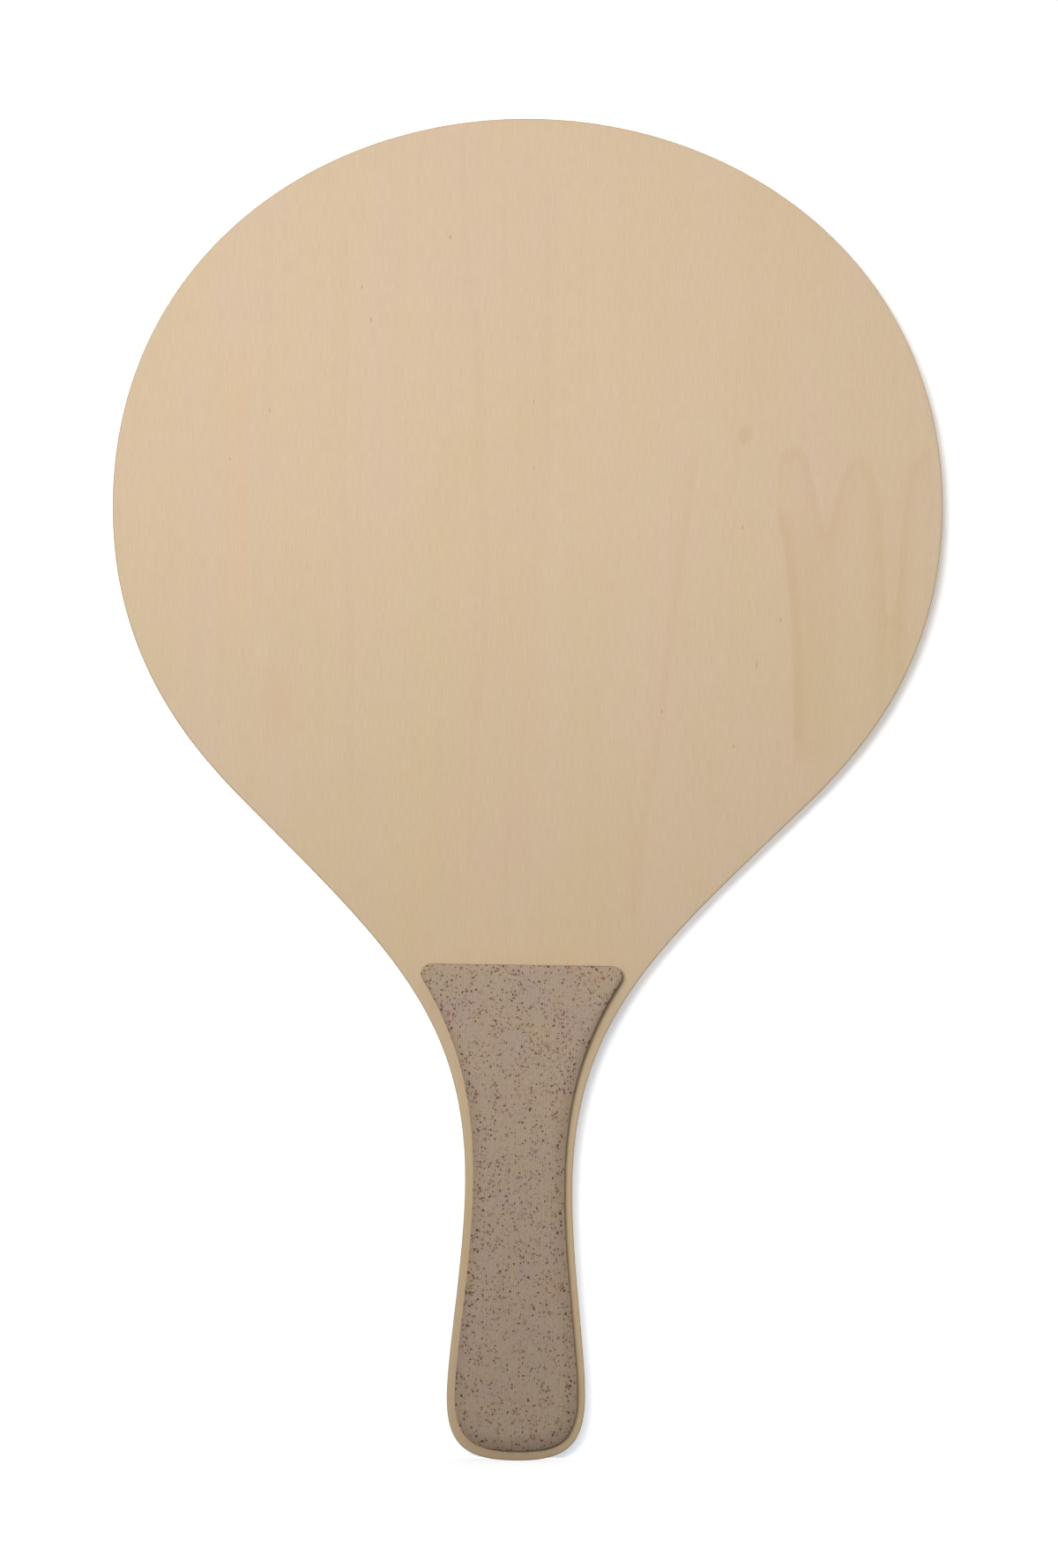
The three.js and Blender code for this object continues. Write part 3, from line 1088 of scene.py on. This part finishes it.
@dataclass(frozen=True)
class Plywood:
    """The bat itself: five veneers pressed together and cut to the racket's outline in one pass."""

    outline: RacketOutline
    face_thickness: float = 1.0 * MM
    cross_thickness: float = 1.3 * MM
    core_thickness: float = 1.4 * MM
    sanded_radius: float = 0.5 * MM
    # The softer crosswise veneers give a little more to the sanding block than the lengthwise ones
    cross_hollow: float = 0.03 * MM

    @property
    def core_face(self) -> float:
        """The depth at which the core meets a cross veneer."""
        return self.core_thickness / 2

    @property
    def cross_face(self) -> float:
        """The depth at which a cross veneer meets a face veneer."""
        return self.core_face + self.cross_thickness

    @property
    def blade_face(self) -> float:
        """The depth of the blade's face."""
        return self.cross_face + self.face_thickness

    def build(self) -> None:
        """Builds and dresses the five veneers."""
        outline = whole_outline(self.outline.right_half())
        glue = (self.core_face * PER_METRE, self.cross_face * PER_METRE)
        core = VeneerFinish(
            "peeled_birch_core", (0xD6BC98, 0xD0B58F, 0xC8AE88), 0xA98860, 0xB39168,
            GrainAxis.LENGTHWISE, glue[:1],
        ).material()
        cross = VeneerFinish(
            "peeled_birch_crosswise", (0xCBAE86, 0xC3A67D, 0xBA9F77), 0x94744E, 0xA8855A,
            GrainAxis.CROSSWISE, glue,
        ).material()
        plate = [ring(outline, depth, lambda point: 0.0) for depth in (self.core_face, -self.core_face)]
        place_piece("core_veneer", lofted(plate), Side.FRONT, core, "core_ply")
        for side, figure in ((Side.FRONT, FRONT_FIGURE), (Side.BACK, BACK_FIGURE)):
            word = side.name.lower()
            face = VeneerFinish(
                f"sanded_birch_face_{word}", (0xD4B99D, 0xD3B999, 0xD2B995), 0xB1906A, 0xB8966D,
                GrainAxis.LENGTHWISE, glue[1:], figure,
            ).material()
            depths = (-self.core_face, -self.cross_face)
            hollow = lofted([ring(outline, depth, lambda point: self.cross_hollow) for depth in depths])
            place_piece(f"{word}_cross_veneer", hollow, side, cross, f"{word}_cross_ply")
            sanded = SoftenedEdge(lambda point: self.sanded_radius)
            body = lofted(sanded.rings(outline, -self.cross_face, -self.blade_face))
            place_piece(f"{word}_face_veneer", body, side, face, f"{word}_face_ply")


@dataclass(frozen=True)
class GripScales:
    """The two moulded scales on the handle, each on its film of adhesive.

    A scale's outline stands in from the plywood's edge by a rim that widens towards its head. Its edge is
    softened by an arc that reaches in a little along the head and further along the handle and round the
    butt, and its face has shallow lengthwise ribs that fade out across the arc.
    """

    plywood: Plywood
    top_height: float = 140.4 * MM
    thickness: float = 6.0 * MM
    head_corner_radius: float = 2.8 * MM
    butt_rim: float = 3.0 * MM
    side_rim: float = 2.3 * MM
    head_rim: float = 4.4 * MM
    rim_widening_power: float = 1.5
    head_edge_reach: float = 1.4 * MM
    side_edge_reach: float = 5.0 * MM
    edge_widening_height: float = 50.0 * MM
    edge_slant: float = math.radians(46.0)
    adhesive_thickness: float = 0.2 * MM
    corner_steps: int = 16
    edge_steps: int = 14
    rib_pitch: float = 0.7 * MM
    rib_depth: float = 0.06 * MM
    rib_cuts: int = 4
    cross_cut: float = 5.0 * MM
    # A corner this close to a cut counts as lying on it, so that no sliver is cut off
    cut_snap: float = 0.005 * MM
    unevenness: float = 0.04 * MM
    unevenness_size: float = 16.0 * MM

    def rim_at(self, height: float) -> float:
        """Works out the bare rim of plywood round a scale.

        Args:
            height: The height on the plywood's edge.

        Returns:
            The rim's width there.
        """
        outline = self.plywood.outline
        near_butt = 1 - eased(height / outline.butt_widest_height)
        climbed = (height - outline.waist_height) / (self.top_height - outline.waist_height)
        near_head = min(max(climbed, 0.0), 1.0) ** self.rim_widening_power
        widened = (self.head_rim - self.side_rim) * near_head
        return self.side_rim + (self.butt_rim - self.side_rim) * near_butt + widened

    def edge_reach_at(self, height: float) -> float:
        """Gives how far in the scale's softened edge reaches at a height."""
        below = eased((self.top_height - height) / self.edge_widening_height)
        return self.head_edge_reach + (self.side_edge_reach - self.head_edge_reach) * below

    def right_half(self) -> Outline:
        """Draws the right half of a scale's outline.

        Returns:
            Its points, round the butt, up the handle and round the head.
        """
        edge = self.plywood.outline.right_half()
        radius = self.head_corner_radius
        centres = [point.inset(self.rim_at(point.at.y) + radius) for point in edge]
        centre_height = self.top_height - radius
        above = next(index for index, centre in enumerate(centres) if centre.at.y > centre_height)
        lower, upper = centres[above - 1], centres[above]
        share = (centre_height - lower.at.y) / (upper.at.y - lower.at.y)
        centre, out = lower.at.lerp(upper.at, share), lower.out.lerp(upper.out, share).normalized()
        leaves = centre.y + out.y * radius
        side = [point.inset(self.rim_at(point.at.y)) for point in edge]
        half = [point for point in side if point.at.y < leaves]
        start = math.atan2(out.y, out.x)
        for step in range(self.corner_steps + 1):
            angle = start + (math.pi / 2 - start) * step / self.corner_steps
            turned = Vector((math.cos(angle), math.sin(angle)))
            half.append(EdgePoint(centre + turned * radius, turned))
        return half

    def build(self) -> None:
        """Builds and dresses the two scales, and dresses the films under them."""
        grip = MouldedGripFinish(self.rib_pitch * PER_METRE).material()
        film = BondingFilmFinish().material()
        scale = self.scale()
        for side, body in zip(Side, (scale.copy(), scale)):
            word = side.name.lower()
            place_piece(f"{word}_grip", body, side, grip, f"{word}_grip_scale")
            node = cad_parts[f"{word}_grip_adhesive"]
            node.data.materials.clear()
            node.data.materials.append(film)
            LOG.info("%s: dressed as brushed adhesive", node.name)

    def scale(self) -> bmesh.types.BMesh:
        """Makes the body of a front scale.

        Returns:
            The body, with its ribbed face.
        """
        outline = whole_outline(self.right_half())
        seat = -(self.plywood.blade_face + self.adhesive_thickness)
        face = seat - self.thickness
        softened = SoftenedEdge(
            lambda point: self.edge_reach_at(point.at.y), self.edge_slant, self.edge_steps
        )
        body = lofted(softened.rings(outline, seat, face))
        body.faces.ensure_lookup_table()
        body.faces[-1].smooth = True
        half_width = max(point.at.x for point in outline)
        spacing = self.rib_pitch / self.rib_cuts
        columns = int(half_width / spacing)
        rows = int(self.top_height / self.cross_cut)
        across = [column * spacing for column in range(-columns, columns + 1)]
        up = [row * self.cross_cut for row in range(1, rows + 1)]
        front = [part for part in body.faces if min(corner.co.y for corner in part.verts) < seat - TOUCHING]
        front = self._cut(body, front, up, Vector((0, 0, 1)))
        self._cut(body, front, across, Vector((1, 0, 0)))
        for vertex in body.verts:
            vertex.co.y += self._sunk_at(vertex.co, face)
        return body

    def _cut(
        self, body: bmesh.types.BMesh, parts: list[bmesh.types.BMFace], places: list[float], across: Vector
    ) -> list[bmesh.types.BMFace]:
        """Cuts faces along planes that are square to a direction, the middle one first and then each half.

        Args:
            body: The body that the faces belong to.
            parts: The faces.
            places: Where the planes lie along the direction, in rising order.
            across: The direction.

        Returns:
            The faces that the cuts leave.
        """
        if not places or not parts:
            return parts
        middle = len(places) // 2
        corners = {corner for part in parts for corner in part.verts}
        edges = {edge for part in parts for edge in part.edges}
        place = across * places[middle]
        whole = bmesh.ops.bisect_plane(
            body, geom=[*parts, *edges, *corners], dist=self.cut_snap, plane_co=place, plane_no=across
        )
        cut = [part for part in whole["geom"] if isinstance(part, bmesh.types.BMFace)]
        below = [part for part in cut if part.calc_center_median().dot(across) < places[middle]]
        kept = set(below)
        above = [part for part in cut if part not in kept]
        left = self._cut(body, below, places[:middle], across)
        return left + self._cut(body, above, places[middle + 1:], across)

    def _sunk_at(self, corner: Vector, face: float) -> float:
        """Says how far the ribs and the mould's unevenness sink a point of the face.

        Args:
            corner: The point.
            face: The depth of the flat face.

        Returns:
            The distance that it sinks towards the plywood.
        """
        deepest = self.edge_reach_at(corner.z) * math.tan(self.edge_slant / 2)
        shown = 1 - eased((corner.y - face) / deepest)
        rib = (1 - math.cos(2 * math.pi * corner.x / self.rib_pitch)) / 2
        wave = noise.noise(Vector((corner.x, 0.0, corner.z)) / self.unevenness_size)
        return shown * (rib * self.rib_depth + (wave + 1) / 2 * self.unevenness)


# The studio


@dataclass(frozen=True)
class SoftLamp:
    """A soft lamp: where it stands, what it is aimed at, its size, its power and how wide it spreads."""

    name: str
    place: tuple[float, float, float]
    aim: tuple[float, float, float]
    width: float
    height: float
    watts: float
    spread: float = math.pi

    def build(self) -> None:
        """Sets the lamp up."""
        light = bpy.data.lights.new(self.name, "AREA")
        light.shape = "RECTANGLE"
        light.size, light.size_y, light.energy = self.width, self.height, self.watts
        light.spread = self.spread
        lamp = linked_object(self.name, light)
        lamp.location = self.place
        lamp.rotation_euler = (Vector(self.aim) - Vector(self.place)).to_track_quat("-Z", "Y").to_euler()
        lamp.visible_camera = False
        LOG.info("lamp %s: %.1f W", self.name, self.watts)


@dataclass(frozen=True)
class SkyGlow:
    """A soft glow in the surroundings: where its middle lies, its strength and how fast it fades."""

    place: tuple[float, float, float]
    strength: float
    tightness: float

    def added(self, add: Adder, towards: Source, under: Source | float) -> Source:
        """Adds the glow to a level of light.

        Args:
            add: What adds a node to the tree.
            towards: The direction that is looked in.
            under: The level of light without the glow.

        Returns:
            The level with the glow.
        """
        middle = tuple(Vector(self.place).normalized())
        near = add("VectorMath", {0: towards, 1: middle}, operation="DOT_PRODUCT")
        ahead = add("Math", {0: near, 1: 0.0}, operation="MAXIMUM")
        shaped = add("Math", {0: ahead, 1: self.tightness}, operation="POWER")
        return add("Math", {0: shaped, 1: self.strength, 2: under}, operation="MULTIPLY_ADD")


@dataclass(frozen=True)
class Studio:
    """A pale floor, a white board close behind the racket, a lamp, lit surroundings and the camera."""

    ambient: float = 0.06
    glows: tuple[SkyGlow, ...] = (
        # From above and a little in front, as from a pale ceiling
        SkyGlow((-0.1, -0.5, 1.2), 0.85, 4.0),
        # From behind, for whoever looks at the back: the front face gets nothing of it
        SkyGlow((0.3, 1.0, 0.5), 2.1, 2.0),
    )
    floor_half_width: float = 2.5
    board_half_width: float = 0.2
    board_height: float = 0.46
    # The board stands just behind the back scale and leans back a little
    board_depth: float = 9.3 * MM
    board_lean: float = 4.0 * MM
    focal_length: float = 200.0
    camera_place: tuple[float, float, float] = (1.42 * MM, -2469.4 * MM, 191.6 * MM)
    camera_roll: float = math.radians(0.755)
    lamps: tuple[SoftLamp, ...] = (
        # A narrow beam aimed at the upper left of the blade, so that the light falls off towards the butt
        SoftLamp("key", (-0.5, -3.0, 0.5), (-0.09, 0.0, 0.34), 0.9, 0.24, 1.48, math.radians(22.2)),
    )

    def build(self) -> None:
        """Sets up the floor, the board, the lamps, the world and the camera."""
        self._world()
        for lamp in self.lamps:
            lamp.build()
        reach = self.floor_half_width
        corners = [(-reach, -reach, 0), (reach, -reach, 0), (reach, reach, 0), (-reach, reach, 0)]
        floor = PaintedBoardFinish("matt_pale_floor", paint=0x808080, glow_low=0.86, glow_high=0.86)
        self._board("floor", corners, floor)
        side, top, depth = self.board_half_width, self.board_height, self.board_depth
        far = depth + self.board_lean
        corners = [(-side, depth, 0), (side, depth, 0), (side, far, top), (-side, far, top)]
        finish = PaintedBoardFinish(
            "matt_white_board", glow_low=0.56, glow_high=0.23, glow_tint=0xE9F4FF, seen_from_behind=False
        )
        board = self._board("board", corners, finish)
        # The board only shows the racket's shadow: it keeps no light from the racket's back
        board.visible_shadow = board.visible_diffuse = board.visible_glossy = False
        board.visible_transmission = False
        self._camera()

    def _board(
        self, name: str, corners: Sequence[tuple[float, float, float]], finish: PaintedBoardFinish
    ) -> bpy.types.Object:
        """Stands or lays one painted board.

        Args:
            name: The board's name.
            corners: Its corners, anticlockwise as seen from its face.
            finish: Its paint.

        Returns:
            The board.
        """
        mesh = bpy.data.meshes.new(name)
        mesh.from_pydata(corners, [], [range(len(corners))])
        mesh.materials.append(finish.material())
        board = linked_object(name, mesh)
        LOG.info("%s: staged", name)
        return board

    def _world(self) -> None:
        """Lights the scene from all round, most where the glows lie, and shows white where it is seen."""
        world = bpy.data.worlds.new("studio")
        bpy.context.scene.world = world
        world.use_nodes = True
        tree = world.node_tree
        tree.nodes.clear()
        add = partial(add_node, tree)
        level = self.ambient
        towards = add("TexCoord").outputs["Generated"]
        for glow in self.glows:
            level = glow.added(add, towards, level)
        strength = add("MapRange", {"Value": seen_directly(add), "To Min": level, "To Max": 1.0})
        white = add("Background", {"Color": linear(0xFFFFFF), "Strength": strength})
        add("OutputWorld", {"Surface": white})

    def _camera(self) -> None:
        """Sets up the camera at the photograph's viewing angle, turned a little so that the racket leans."""
        data = bpy.data.cameras.new("camera")
        data.lens = self.focal_length
        data.sensor_width = 36.0
        camera = linked_object("camera", data)
        camera.location = self.camera_place
        camera.rotation_euler = (math.pi / 2, -self.camera_roll, 0.0)
        bpy.context.scene.camera = camera
        LOG.info("camera: %.0f mm", data.lens)


def main() -> None:
    """Builds the racket and the studio round it."""
    logging.basicConfig(level=logging.INFO, format="%(name)s: %(message)s")
    bpy.context.scene.view_settings.view_transform = "Standard"
    plywood = Plywood(RacketOutline())
    plywood.build()
    GripScales(plywood).build()
    Studio().build()


if __name__ == "__main__":
    main()
